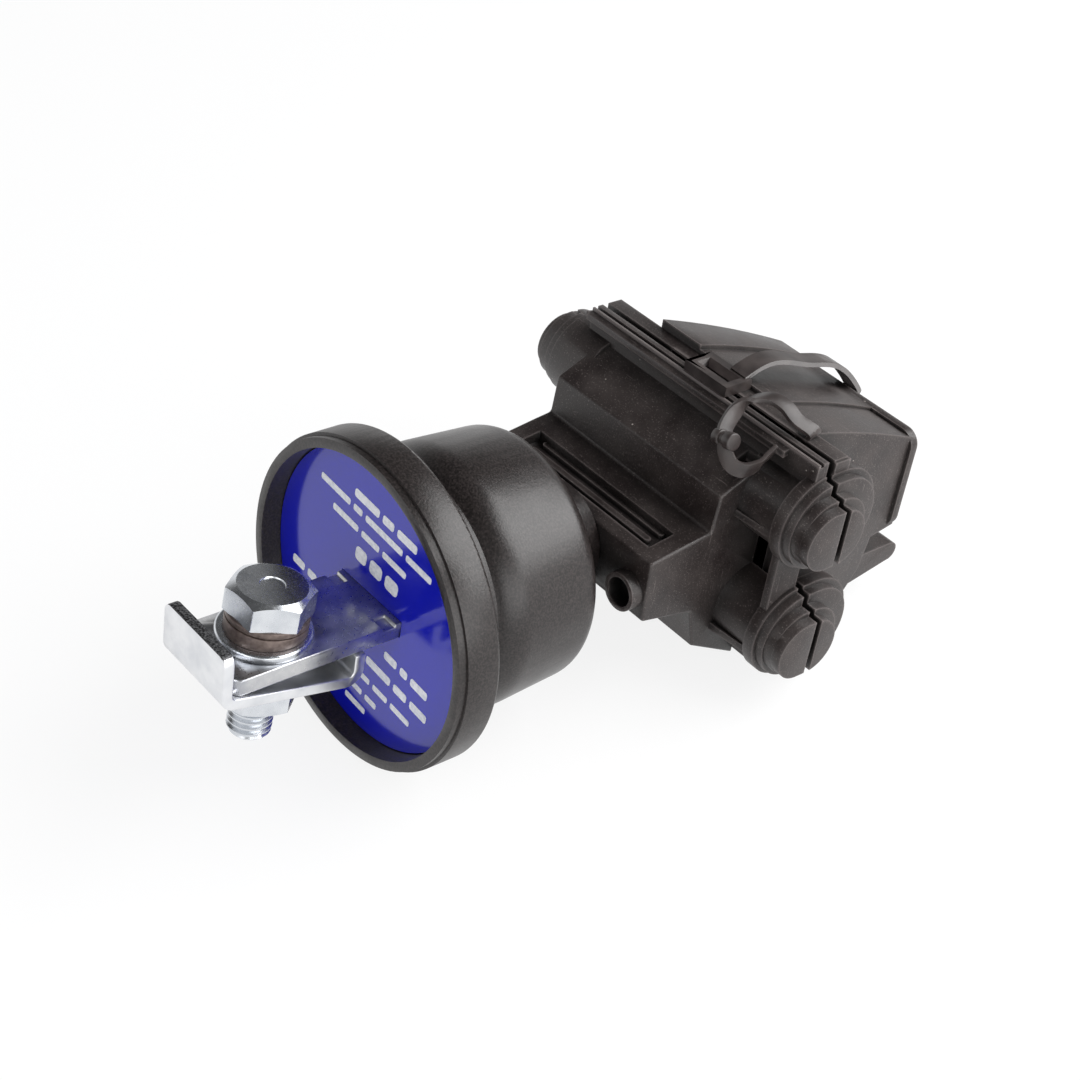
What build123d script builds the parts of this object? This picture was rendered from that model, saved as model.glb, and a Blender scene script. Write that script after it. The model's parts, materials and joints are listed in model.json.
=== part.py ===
from build123d import *
import math
import os

# Distribution surge arrester with its insulated branch connector, in millimetres.
# +Y runs along the arrester away from its label, +X along the conductor channels, +Z is up.
# The origin is where the earth bolt crosses the arrester's axis, inside the earth tongue.

# ---------------------------------------------------------------- driving dimensions
fit_gap = 0.15               # clearance round pieces that drop into a seat
seat_gap = 0.05              # clearance between faces that clamp each other

# Housing: wide front flange, waist and drum
flange_front = 22.7          # station of the flange's front face
flange_radius = 38.4
flange_thick = 10.4
flange_lip = 0.7             # step round the flange's front edge
lip_length = 1.8
flange_wall = 3.0            # between the flange's rim and the label's recess
recess_depth = 8.5
waist_radius = 28.2
waist_length = 7.5
shoulder_rise = 2.0           # how far the waist has opened where its curve is steepest
shoulder_start = 3.0
shoulder_length = 7.5
drum_radius = 31.0
drum_rear_radius = 30.0
drum_shoulder = 4.8
housing_rear = 69.2
housing_wall = 2.7
rear_wall = 6.0
collar_radius = 13.0

# Closing base with its label
base_thick = 3.0
label_thick = 0.5

# Earth terminal
tongue_width = 22.0
tongue_thick = 4.0
tongue_top = 1.2
tongue_reach = 13.7          # from the bolt's axis to the free end
tongue_foot = 15.0           # height of the foot behind the base
foot_thick = 3.5
stake_width = 4.0
stake_length = 3.0
stake_depth = 0.8

bolt_size = 10.0
bolt_length = 30.0
bolt_af = 17.0
head_height = 6.4
dimple_radius = 3.2
dimple_depth = 0.4
bolt_lean = 5.0              # the tilted clamp plate pulls the bolt over by this angle
bolt_hole = 11.0
nut_thick = 5.0
flat_washer_radius = 10.5
flat_washer_thick = 2.0
spring_washer_radius = 9.0
spring_washer_bore = 10.7
spring_washer_height = 4.2
spring_washer_slit = 1.2

clamp_thick = 2.6
clamp_width = 23.0
clamp_slope = 0.2            # fall of the clamp plate per millimetre toward the label
clamp_tab_height = 8.6
clamp_tab_gap = 1.0
clamp_reach = 17.4           # from the bolt's axis to the curled end
clamp_bend = 2.6
clamp_hole = 12.5

# Varistor stack inside the housing
varistor_radius = 20.0
varistor_thick = 16.0
electrode_radius = 18.0
line_electrode_thick = 2.7
earth_electrode_thick = 3.0
sleeve_thick = 3.0
spring_disc_radius = 9.0
spring_disc_bore = 4.0
spring_disc_wall = 1.0
braid_radius = 1.4

# Line stud
stud_size = 6.0
stud_nut_af = 10.0
stud_nut_thick = 5.0

# Connector cover: two half shells that meet at a seam across Y
seam = 118.2
seam_gap = 1.8
cover_wall = 2.6
cover_mid = 3.1              # height midway between the two channels
channel_pitch = 30.8
block_half = 29.0
block_front = 101.0
block_top = 21.5
block_bottom = -21.6
block_rim = 29.2             # height of the block where it meets the seam
neck_front = 82.6
neck_top = 9.0
neck_bottom = -7.4
neck_wall = 1.9
ledge_station = 96.0
ledge_top = 11.1
# Each step of an end cap: its end, its radius, and where its front and rear rounds are centred
# about the seam
front_sleeve = (40.6, 10.2, -0.5, 0.5)
rear_sleeve = (40.6, 11.4, -0.5, 6.5)
right_steps = [
    (43.8, 12.2, 0.0, 5.5), (46.0, 11.2, 0.0, 4.5), (48.7, 8.6, -2.2, 1.2), (51.4, 7.4, -3.6, -0.4),
]
left_sleeve = (38.9, 10.8, -0.5, 0.5)
left_steps = [(41.0, 10.2, -0.5, 0.5), (44.2, 8.9, -1.0, 0.5), (45.9, 7.5, -1.5, 0.5)]
cap_bore = 7.2
cap_bore_reach = 37.5
gusset_thick = 1.8
gusset_reach = 11.3          # from the seam to the gusset's free edge
gusset_heights = [14.4, -18.0]
web_thick = 2.2
web_width = 9.2
rim_top = 34.4
rim_left = -34.2
rim_right = 43.4
rim_depth = 3.2
lip_depth = 4.8
lip_height = 1.6
groove_width = 1.1
groove_depth = 0.8
rear_rim_depth = 4.2
pad_length = 8.0
boss_radius = 4.7
boss_bore = 3.6
boss_length = 2.6
boss_side = 23.2
boss_height = -1.3
boss_depth = 1.6             # how far the boss's bore goes into the neck
rib_length = 43.0
rib_height = 1.4
pocket_length = 9.0
pocket_width = 4.2

hood_left = -20.0
hood_right = 33.5
hood_rear = 161.7
hood_crown = 36.4            # height just behind the seam
hood_mid_top = 30.6          # height halfway back
hood_rear_top = 22.8
hood_bands = [(-20.0, -6.0, 1.2), (-6.0, 20.0, 0.0), (20.0, 33.5, -0.8)]
plate_thick = 2.2
plate_bottom = -3.0
plate_overhang = 0.9
plate_corner = 4.0
lever_station = 168.0
lever_drop = -13.5
lever_radius = 2.6

# Connector jaws inside the cover
jaw_half = 17.0
jaw_gap = 6.0
jaw_depth = 12.5
channel_radius = 6.0
blade_side = 9.0
blade_thick = 2.0
tooth_height = 1.6
shear_size = 8.0
shear_head_af = 13.0
shear_head_height = 5.0
shear_washer_radius = 10.0
shear_washer_thick = 2.0

strap_width = 5.0
strap_thick = 1.2
strap_side = 8.5
tie_width = 3.2
tie_thick = 1.5
tie_side = 34.0
# Routes of the tie and of its curled end, about the point on the rim where the tie starts
tie_route = [
    (-3.2, 0.4, 3.6), (-6.5, -0.4, 5.5), (-10.0, -1.9, 6.2), (-12.6, -4.9, 5.2), (-13.0, -8.9, 3.6),
    (-11.8, -12.9, 1.2), (-10.4, -14.7, -0.8),
]
curl_route = [
    (-8.4, -15.5, -0.8), (-6.6, -15.9, -2.6), (-4.4, -15.3, -4.6), (-2.8, -13.3, -5.4),
    (-2.3, -10.4, -5.0), (-2.4, -8.2, -3.4),
]
knob_place = (-9.4, -15.1, -0.5)
knob_reach = 3.2
foot_width = 5.0
foot_length = 3.0
foot_height = 1.2
knob_radius = 2.6

# ---------------------------------------------------------------- worked-out stations
recess_radius = flange_radius - flange_wall
recess_floor = flange_front + recess_depth
base_front = recess_floor - base_thick
label_front = base_front - label_thick
cavity_radius = waist_radius - housing_wall
cavity_rear = housing_rear - rear_wall
line_electrode_front = cavity_rear - line_electrode_thick
varistor_front = line_electrode_front - varistor_thick
earth_electrode_front = varistor_front - earth_electrode_thick
foot_rear = recess_floor + foot_thick
tongue_bottom = tongue_top - tongue_thick
seam_front = seam - seam_gap / 2
seam_rear = seam + seam_gap / 2
channel_heights = [cover_mid + channel_pitch / 2, cover_mid - channel_pitch / 2]
block_inner_front = block_front + cover_wall
flat_washer_top = tongue_top + flat_washer_thick
head_seat = flat_washer_top + spring_washer_height

lean = math.radians(bolt_lean)
bolt_plane = Plane(origin=(0, 0, 0), x_dir=(1, 0, 0), z_dir=(0, math.sin(lean), math.cos(lean)))
bolt_side = Plane(origin=(0, 0, 0), x_dir=(1, 0, 0), z_dir=(0, -math.cos(lean), math.sin(lean)))
bolt_axis = Axis((0, 0, 0), (0, math.sin(lean), math.cos(lean)))


def hex_corner(across_flats):
    """Corner radius of a hexagon of this width across its flats."""
    return across_flats / math.sqrt(3)


def clamp_top(station):
    """Height of the clamp plate's upper face: it touches the tongue's lower front edge."""
    return tongue_bottom - seat_gap - clamp_slope * (station + tongue_reach)


def front_plane(station):
    """Sketch plane across the arrester's axis, with local x along X and local y along Z."""
    return Plane(origin=(0, station, 0), x_dir=(1, 0, 0), z_dir=(0, -1, 0))


# ---------------------------------------------------------------- housing and base
with BuildPart() as housing:
    with BuildSketch(Plane.XY):
        with BuildLine():
            front = Polyline(
                (recess_radius, flange_front),
                (flange_radius - flange_lip, flange_front),
                (flange_radius - flange_lip, flange_front + lip_length),
                (flange_radius, flange_front + lip_length),
                (flange_radius, flange_front + flange_thick),
                (waist_radius, flange_front + flange_thick),
                (waist_radius, flange_front + flange_thick + waist_length),
            )
            shoulder = ThreePointArc(
                front @ 1,
                (waist_radius + shoulder_rise, (front @ 1).Y + shoulder_start),
                (drum_radius, (front @ 1).Y + shoulder_length),
            )
            side = Line(shoulder @ 1, (drum_rear_radius, housing_rear - drum_shoulder))
            rear_round = TangentArc(
                side @ 1, (drum_rear_radius - drum_shoulder, housing_rear), tangent=side % 1
            )
            Polyline(
                rear_round @ 1,
                (collar_radius, housing_rear),
                (collar_radius, neck_front - seat_gap),
                (stud_size / 2 + fit_gap, neck_front - seat_gap),
                (stud_size / 2 + fit_gap, cavity_rear),
                (cavity_radius, cavity_rear),
                (cavity_radius, recess_floor),
                (recess_radius, recess_floor),
                (recess_radius, flange_front),
            )
        make_face()
    revolve(axis=Axis.Y)
    flange_edges = housing.edges().filter_by(GeomType.CIRCLE).filter_by(
        lambda e: abs(e.radius - flange_radius) < 0.01 and e.center().Y > flange_front + lip_length + 1
    )
    fillet(flange_edges, radius=0.9)

with BuildPart() as base_disc:
    with BuildSketch(Plane.XZ.offset(-base_front)):
        Circle(recess_radius - fit_gap)
        with Locations((0, tongue_top - tongue_thick / 2)):
            Rectangle(tongue_width + 2 * fit_gap, tongue_thick + 2 * fit_gap, mode=Mode.SUBTRACT)
    extrude(amount=-(base_thick - seat_gap))

with BuildPart() as label_disc:
    with BuildSketch(Plane.XZ.offset(-label_front)):
        Circle(recess_radius - 2 * fit_gap)
        with Locations((0, tongue_top - tongue_thick / 2)):
            Rectangle(tongue_width + 2 * fit_gap, tongue_thick + 2 * fit_gap, mode=Mode.SUBTRACT)
    extrude(amount=-(label_thick - seat_gap))

# ---------------------------------------------------------------- earth terminal
with BuildPart() as earth_tongue:
    with BuildSketch(Plane.YZ):
        with BuildLine():
            Polyline(
                (-tongue_reach, tongue_bottom),
                (foot_rear, tongue_bottom),
                (foot_rear, tongue_foot),
                (recess_floor, tongue_foot),
                (recess_floor, tongue_top),
                (-tongue_reach, tongue_top),
                close=True,
            )
        make_face()
    extrude(amount=tongue_width / 2, both=True)
    chamfer(earth_tongue.edges().filter_by(Axis.Z).group_by(Axis.Y)[0], length=1.2)
    with Locations(Plane.XY.offset(tongue_top)):
        Hole(radius=bolt_hole / 2, depth=tongue_thick)
    with BuildSketch(Plane.XY.offset(tongue_top)):
        with Locations(
            (tongue_width / 2 - stake_width / 2, label_front - stake_length),
            (-tongue_width / 2 + stake_width / 2, label_front - stake_length),
        ):
            Rectangle(stake_width, stake_length)
    extrude(amount=-stake_depth, mode=Mode.SUBTRACT)

with BuildPart() as flat_washer:
    with BuildSketch(Plane.XY.offset(tongue_top + seat_gap)):
        Circle(flat_washer_radius)
        Circle(bolt_hole / 2, mode=Mode.SUBTRACT)
    extrude(amount=flat_washer_thick - 2 * seat_gap)
    chamfer(flat_washer.edges().group_by(Axis.Z)[-1].sort_by(SortBy.RADIUS)[-1], length=0.4)

with BuildPart() as spring_washer:
    with BuildSketch(bolt_plane.offset(head_seat - seat_gap)):
        Circle(spring_washer_radius)
        Circle(spring_washer_bore / 2, mode=Mode.SUBTRACT)
    extrude(amount=-spring_washer_height - 2)
    with BuildSketch(bolt_plane.offset(head_seat - spring_washer_height * 0.4)):
        Circle(spring_washer_radius)
        Circle(spring_washer_radius - 0.5, mode=Mode.SUBTRACT)
    extrude(amount=0.35, mode=Mode.SUBTRACT)
    with BuildSketch(bolt_plane.offset(head_seat)):
        with Locations((-spring_washer_radius, 0)):
            Rectangle(spring_washer_radius, spring_washer_slit)
    extrude(amount=-2 * spring_washer_height, mode=Mode.SUBTRACT)
    split(bisect_by=Plane.XY.offset(flat_washer_top), keep=Keep.TOP)

with BuildPart() as earth_bolt:
    with BuildSketch(bolt_plane.offset(head_seat)):
        RegularPolygon(radius=bolt_af / 2, side_count=6, major_radius=False, rotation=12)
    extrude(amount=head_height)
    with BuildSketch(bolt_side):
        with BuildLine():
            Polyline(
                (0, head_seat),
                (hex_corner(bolt_af) + 1, head_seat),
                (hex_corner(bolt_af) + 1, head_seat + head_height - 1.6),
                (bolt_af / 2 - 0.4, head_seat + head_height),
                (0, head_seat + head_height),
                close=True,
            )
        make_face()
    revolve(axis=bolt_axis, mode=Mode.INTERSECT)
    with BuildSketch(bolt_plane.offset(head_seat + head_height)):
        Circle(dimple_radius)
    extrude(amount=-dimple_depth, mode=Mode.SUBTRACT)
    with BuildSketch(bolt_plane.offset(head_seat)):
        Circle(bolt_size / 2)
    extrude(amount=-bolt_length)
    chamfer(earth_bolt.edges().filter_by(GeomType.CIRCLE).group_by(Axis.Z)[0], length=0.9)

with BuildPart() as clamp_plate:
    tab_middle = -(tongue_reach + clamp_tab_gap + clamp_thick / 2)
    fall = clamp_thick / 2 * math.sqrt(1 + clamp_slope**2)
    with BuildSketch(Plane.YZ):
        with BuildLine():
            FilletPolyline(
                (tab_middle, clamp_tab_height),
                (tab_middle, clamp_top(tab_middle) - fall),
                (clamp_reach, clamp_top(clamp_reach) - fall),
                (clamp_reach, tongue_bottom - 0.5),
                radius=clamp_bend,
            )
        trace(line_width=clamp_thick)
    extrude(amount=clamp_width / 2, both=True)
    with Locations(Plane.XY):
        Hole(radius=clamp_hole / 2)
    tab_corners = clamp_plate.edges().filter_by(Axis.Y).group_by(Axis.Z)[-1]
    fillet(tab_corners, radius=2.2)

nut_drop = (clamp_slope - math.tan(lean)) * bolt_af / 2
nut_top = clamp_top(0) - 2 * fall - nut_drop - 2 * seat_gap
with BuildPart() as clamp_nut:
    with BuildSketch(bolt_plane.offset(nut_top)):
        RegularPolygon(radius=bolt_af / 2, side_count=6, major_radius=False, rotation=12)
        Circle(bolt_size / 2 + seat_gap, mode=Mode.SUBTRACT)
    extrude(amount=-nut_thick)
    with BuildSketch(bolt_side):
        with BuildLine():
            Polyline(
                (0, nut_top),
                (hex_corner(bolt_af) + 1, nut_top),
                (hex_corner(bolt_af) + 1, nut_top - nut_thick + 1.1),
                (bolt_af / 2 - 0.2, nut_top - nut_thick),
                (0, nut_top - nut_thick),
                close=True,
            )
        make_face()
    revolve(axis=bolt_axis, mode=Mode.INTERSECT)

# ---------------------------------------------------------------- varistor stack
with BuildPart() as varistor_disc:
    with BuildSketch(Plane.XZ.offset(-varistor_front - seat_gap)):
        Circle(varistor_radius)
    extrude(amount=-(varistor_thick - 2 * seat_gap))
    chamfer(varistor_disc.edges().filter_by(GeomType.CIRCLE), length=0.8)

with BuildPart() as varistor_sleeve:
    with BuildSketch(Plane.XZ.offset(-varistor_front)):
        Circle(varistor_radius + fit_gap + sleeve_thick)
        Circle(varistor_radius + fit_gap, mode=Mode.SUBTRACT)
    extrude(amount=-(cavity_rear - seat_gap - varistor_front))

with BuildPart() as line_electrode:
    with BuildSketch(Plane.XZ.offset(-line_electrode_front)):
        Circle(electrode_radius)
        Circle(stud_size / 2, mode=Mode.SUBTRACT)
    extrude(amount=-(line_electrode_thick - seat_gap))

with BuildPart() as earth_electrode:
    with BuildSketch(Plane.XZ.offset(-earth_electrode_front)):
        Circle(electrode_radius)
    extrude(amount=-earth_electrode_thick)

with BuildPart() as contact_spring:
    # Two dished spring washers, rim to rim, press the stack together
    spring_room = (earth_electrode_front - foot_rear) / 2
    for start, way in ((foot_rear, 1), (earth_electrode_front, -1)):
        with BuildSketch(Plane.XY):
            with BuildLine():
                Polyline(
                    (spring_disc_bore, start + way * seat_gap),
                    (spring_disc_bore, start + way * (seat_gap + spring_disc_wall)),
                    (spring_disc_radius, start + way * (spring_room - seat_gap)),
                    (spring_disc_radius, start + way * (spring_room - seat_gap - spring_disc_wall)),
                    close=True,
                )
            make_face()
        revolve(axis=Axis.Y)

with BuildPart() as braid_lead:
    # Flexible lead that bridges the spring, from the foot's top edge to the earth electrode
    with BuildLine():
        lead = Spline(
            (0, recess_floor + foot_thick / 2, tongue_foot + seat_gap),
            (0, foot_rear + 1.0, tongue_foot + 2.6),
            (0, earth_electrode_front - seat_gap, electrode_radius - 3.2),
            tangents=[(0, 0, 1), (0, 1, 0)],
        )
    with BuildSketch(Plane(origin=lead @ 0, z_dir=lead % 0)):
        Circle(braid_radius)
    sweep()

with BuildPart() as line_stud:
    with BuildSketch(Plane.XZ.offset(-line_electrode_front)):
        Circle(stud_size / 2 - seat_gap)
    extrude(amount=-(block_inner_front + 3.5 - line_electrode_front))
    chamfer(line_stud.edges().filter_by(GeomType.CIRCLE).sort_by(Axis.Y)[-1], length=0.8)

with BuildPart() as stud_nut:
    with BuildSketch(front_plane(neck_front + cover_wall + seat_gap)):
        RegularPolygon(radius=stud_nut_af / 2, side_count=6, major_radius=False)
        Circle(stud_size / 2, mode=Mode.SUBTRACT)
    extrude(amount=-stud_nut_thick)

# ---------------------------------------------------------------- connector cover


def end_caps(sleeve):
    """Stepped end caps of both channels, added to the shell being built."""
    for height in channel_heights:
        for side, steps in ((1, [sleeve] + right_steps), (-1, [left_sleeve] + left_steps)):
            start = block_half - cover_wall
            for end, radius, ahead, behind in steps:
                with BuildSketch(Plane.YZ.offset(side * start)) as step:
                    with Locations((seam + (ahead + behind) / 2, height)):
                        SlotCenterToCenter(behind - ahead, 2 * radius)
                extrude(step.sketch, amount=side * (end - start))
                start = end


def channel_bores():
    """The closed bore along each channel, cut from the shell being built."""
    for height in channel_heights:
        with BuildSketch(Plane.YZ) as bore:
            with Locations((seam, height)):
                Circle(cap_bore)
        extrude(bore.sketch, amount=cap_bore_reach, both=True, mode=Mode.SUBTRACT)


with BuildPart() as front_shell:
    # Block and neck
    with BuildSketch(Plane.YZ):
        with BuildLine():
            Polyline(
                (seam_front, block_rim),
                (block_front, block_top),
                (block_front - 0.6, ledge_top + 0.6),
                (ledge_station, ledge_top),
                (neck_front, neck_top),
                (neck_front + 0.8, neck_bottom),
                (block_front - 1.8, neck_bottom - 3.0),
                (block_front + 1.4, block_bottom),
                (seam_front, -block_rim),
                close=True,
            )
        make_face()
    extrude(amount=block_half, both=True)
    long_edges = front_shell.edges().filter_by(Axis.X).filter_by(
        lambda e: e.center().Y < seam_front - 1 and abs(e.center().Z) > 6
    )
    fillet(long_edges, radius=0.9)
    fillet(front_shell.edges().filter_by(
        lambda e: abs(abs(e.center().X) - block_half) < 0.01 and e.center().Y < seam_front - 1
    ), radius=0.7)
    # Stepped end caps
    end_caps(front_sleeve)
    # Gusset fins from the block's ends to the largest ring, and the web between the rings
    for height in gusset_heights:
        with BuildSketch(Plane.XY.offset(height)):
            with BuildLine():
                Polyline(
                    (block_half - 1, seam),
                    (block_half - 1, seam - gusset_reach),
                    (front_sleeve[0], seam - front_sleeve[1]),
                    (front_sleeve[0], seam),
                    close=True,
                )
            make_face()
        extrude(amount=gusset_thick)
    with BuildSketch(Plane.YZ.offset(front_sleeve[0])):
        with Locations((seam - web_width / 2, cover_mid)):
            Rectangle(web_width, channel_pitch)
    extrude(amount=web_thick)
    # Rim: a wall across the seam with a double lip along its top
    with BuildSketch(front_plane(seam_front)):
        with BuildLine():
            Polyline(
                (rim_left, block_rim - 6), (rim_left, rim_top), (rim_right, rim_top),
                (rim_right, channel_heights[0]), (block_half - 2, channel_heights[0]),
                (block_half - 2, block_rim - 6),
                close=True,
            )
        make_face()
    extrude(amount=rim_depth)
    with BuildSketch(Plane.YZ.offset(rim_left)):
        with BuildLine():
            Polyline(
                (seam_front, rim_top), (seam_front, rim_top - lip_height),
                (seam_front - lip_depth, rim_top - lip_height - 1.2),
                (seam_front - lip_depth, rim_top - 1.2),
                close=True,
            )
        make_face()
    extrude(amount=-2 * rim_left)
    with BuildSketch(Plane.XY.offset(rim_top)):
        with Locations(((rim_left + rim_right) / 2, seam_front - 1.5 - groove_width / 2)):
            Rectangle(rim_right - rim_left, groove_width)
    extrude(amount=-groove_depth, mode=Mode.SUBTRACT)
    # Pocket beside the tie
    with BuildSketch(Plane.XY.offset(rim_top - lip_height - 3)):
        with Locations((block_half - 3.5, seam_front - pocket_length / 2 - 4)):
            Rectangle(pocket_width, pocket_length)
    extrude(amount=-6, mode=Mode.SUBTRACT)
    # Neck top: shallow recess with two long ribs, and the round boss on its front
    with BuildSketch(Plane.XY.offset(ledge_top + 1)):
        with Locations((0, (neck_front + ledge_station) / 2 + 0.6)):
            Rectangle(2 * block_half - 10, ledge_station - neck_front - 6)
    extrude(amount=-(ledge_top + 1 - neck_top + 1.2), mode=Mode.SUBTRACT)
    with BuildSketch(Plane.XY.offset(neck_top - 1.4)):
        with Locations((0, neck_front + 6.2), (0, neck_front + 10.4)):
            SlotOverall(rib_length, 1.8)
    extrude(amount=rib_height)
    with BuildSketch(front_plane(neck_front + 1)):
        with Locations((boss_side, boss_height)):
            Circle(boss_radius)
    extrude(amount=boss_length + 1)
    # Hollow inside
    with BuildSketch(Plane.YZ):
        with BuildLine():
            Polyline(
                (seam_front, block_rim - cover_wall),
                (block_inner_front, block_top - cover_wall),
                (block_inner_front, neck_top - 1.2 - neck_wall),
                (neck_front + cover_wall, neck_top - 1.2 - neck_wall),
                (neck_front + cover_wall, neck_bottom + neck_wall),
                (block_inner_front, neck_bottom + neck_wall),
                (block_inner_front, block_bottom + cover_wall),
                (seam_front, -block_rim + cover_wall),
                close=True,
            )
        make_face()
    extrude(amount=block_half - cover_wall, both=True, mode=Mode.SUBTRACT)
    channel_bores()
    with BuildSketch(front_plane(neck_front)):
        Circle(stud_size / 2 + fit_gap)
    extrude(amount=-2 * cover_wall, mode=Mode.SUBTRACT)
    with BuildSketch(front_plane(neck_front - boss_length)):
        with Locations((boss_side, boss_height)):
            Circle(boss_bore)
    extrude(amount=-boss_length - boss_depth, mode=Mode.SUBTRACT)
    split(bisect_by=Plane(origin=(0, seam_front, 0), z_dir=(0, 1, 0)), keep=Keep.BOTTOM)


def hood_outline(rise, inset):
    """Side outline of the hood, raised by a band's step or drawn in for its hollow."""
    with BuildSketch(Plane.YZ) as outline:
        with BuildLine():
            top = ThreePointArc(
                (seam_rear, hood_crown + rise - inset),
                ((seam_rear + hood_rear) / 2, hood_mid_top + rise - inset),
                (hood_rear - inset, hood_rear_top + rise - inset),
            )
            Polyline(
                top @ 1,
                (hood_rear - inset, plate_bottom + inset),
                (hood_rear - 7.5 - inset, plate_bottom - 1.5 + inset),
                (hood_rear - 9.0 - inset, lever_drop + inset),
                (hood_rear - 12.5 - inset, block_bottom + 2.5 + inset),
                (seam_rear, inset - block_rim),
                top @ 0,
            )
        make_face()
    return outline.sketch


with BuildPart() as rear_shell:
    # Hood in three stepped bands, with its left wall leaning in toward the rear
    for left, right, rise in hood_bands:
        band = hood_outline(rise, 0).moved(Location((left, 0, 0)))
        extrude(band, amount=right - left)
    left_wall = Plane(
        origin=(hood_left, seam_rear, 0), x_dir=(0, 0, 1), z_dir=(-(hood_rear - seam_rear), 6.5, 0)
    )
    split(bisect_by=left_wall, keep=Keep.BOTTOM)
    # Lower body beside the hood
    with BuildSketch(Plane.YZ.offset(-block_half)):
        with BuildLine():
            Polyline(
                (seam_rear, block_rim), (seam_rear + 24, block_top),
                (seam_rear + 30, block_bottom + 3), (seam_rear, -block_rim),
                close=True,
            )
        make_face()
    extrude(amount=block_half - 10)
    # The hood starts behind the flat strip along the seam
    with BuildSketch(Plane.XY.offset(rim_top)):
        with Locations((0, seam_rear + rear_rim_depth / 2)):
            Rectangle(2 * block_half + 20, rear_rim_depth)
    extrude(amount=10, mode=Mode.SUBTRACT)
    # Rear plate with its overhanging edge
    with BuildSketch(front_plane(hood_rear)):
        with Locations(((hood_left + 6.5 + hood_right) / 2, (hood_rear_top + plate_bottom) / 2)):
            RectangleRounded(
                hood_right - hood_left - 6.5 + 2 * plate_overhang,
                hood_rear_top - plate_bottom + 2 * plate_overhang,
                plate_corner,
            )
    extrude(amount=plate_thick)
    # Lever at the lower right
    with BuildSketch(Plane.YZ.offset(hood_right - 6.5)):
        with BuildLine():
            Polyline(
                (hood_rear - 14, lever_drop + lever_radius),
                (lever_station - lever_radius, lever_drop + lever_radius),
                (lever_station - lever_radius, lever_drop - lever_radius),
                (hood_rear - 14, lever_drop - 2.4 * lever_radius),
                close=True,
            )
        make_face()
        with Locations((lever_station - lever_radius, lever_drop)):
            Circle(lever_radius)
    extrude(amount=2 * lever_radius)
    # Stepped end caps
    end_caps(rear_sleeve)
    # Flat strip along the seam with pads that meet the front rim
    with BuildSketch(front_plane(seam_rear)):
        with Locations(((rim_left + rim_right) / 2, rim_top - 5)):
            Rectangle(rim_right - rim_left, 10)
    extrude(amount=-rear_rim_depth)
    with BuildSketch(front_plane(seam_rear - 0.6)):
        with Locations((rim_left + 6, rim_top - 2), (rim_right - 3.4, rim_top - 2)):
            Rectangle(pad_length, 3)
    extrude(amount=-rear_rim_depth - 1.2)
    # Hollow inside
    inner = hood_outline(0, cover_wall).moved(Location((hood_left + 6.5 + cover_wall, 0, 0)))
    extrude(inner, amount=hood_right - hood_left - 6.5 - 2 * cover_wall, mode=Mode.SUBTRACT)
    with BuildSketch(Plane.YZ.offset(-block_half + cover_wall)):
        with BuildLine():
            Polyline(
                (seam_rear, block_rim - cover_wall), (seam_rear + 22, block_top - cover_wall),
                (seam_rear + 27, block_bottom + 6.4), (seam_rear, -block_rim + cover_wall),
                close=True,
            )
        make_face()
    extrude(amount=block_half - 12, mode=Mode.SUBTRACT)
    channel_bores()
    split(bisect_by=Plane(origin=(0, seam_rear, 0), z_dir=(0, 1, 0)), keep=Keep.TOP)

# ---------------------------------------------------------------- connector inside the cover
jaw_front_face = block_inner_front + 0.3
front_jaw_rear = seam - jaw_gap / 2
rear_jaw_front = seam + jaw_gap / 2
rear_jaw_rear = rear_jaw_front + jaw_depth
jaw_rim = block_rim - 4.2      # height of each jaw at the seam, inside the cover's wall

with BuildPart() as front_jaw:
    with BuildSketch(Plane.YZ):
        with BuildLine():
            Polyline(
                (jaw_front_face, block_top - 4), (front_jaw_rear, jaw_rim),
                (front_jaw_rear, -jaw_rim), (jaw_front_face, block_bottom + 4),
                close=True,
            )
        make_face()
        with Locations(*[(seam, height) for height in channel_heights]):
            Circle(channel_radius, mode=Mode.SUBTRACT)
    extrude(amount=jaw_half, both=True)
    # Seat for the contact bar and slots for the two blades
    with BuildSketch(front_plane(jaw_front_face)):
        Rectangle(2 * blade_side + 2 * blade_thick, 14 + 2 * fit_gap)
    extrude(amount=-3.5, mode=Mode.SUBTRACT)
    for side in (-blade_side, blade_side):
        with BuildSketch(Plane.YZ.offset(side - blade_thick / 2 - fit_gap)):
            with Locations(((jaw_front_face + 3.5 + seam) / 2, cover_mid)):
                Rectangle(seam - jaw_front_face - 3.5, channel_pitch + 2 * fit_gap)
        extrude(amount=blade_thick + 2 * fit_gap, mode=Mode.SUBTRACT)
    with BuildSketch(front_plane(front_jaw_rear)):
        with Locations((0, cover_mid)):
            Circle(shear_size / 2 + fit_gap)
    extrude(amount=8, mode=Mode.SUBTRACT)

with BuildPart() as contact_bar:
    with BuildSketch(front_plane(jaw_front_face)):
        Rectangle(2 * blade_side + 2 * blade_thick - 2 * fit_gap, 14)
        Circle(stud_size / 2, mode=Mode.SUBTRACT)
    extrude(amount=-3.4)


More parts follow.
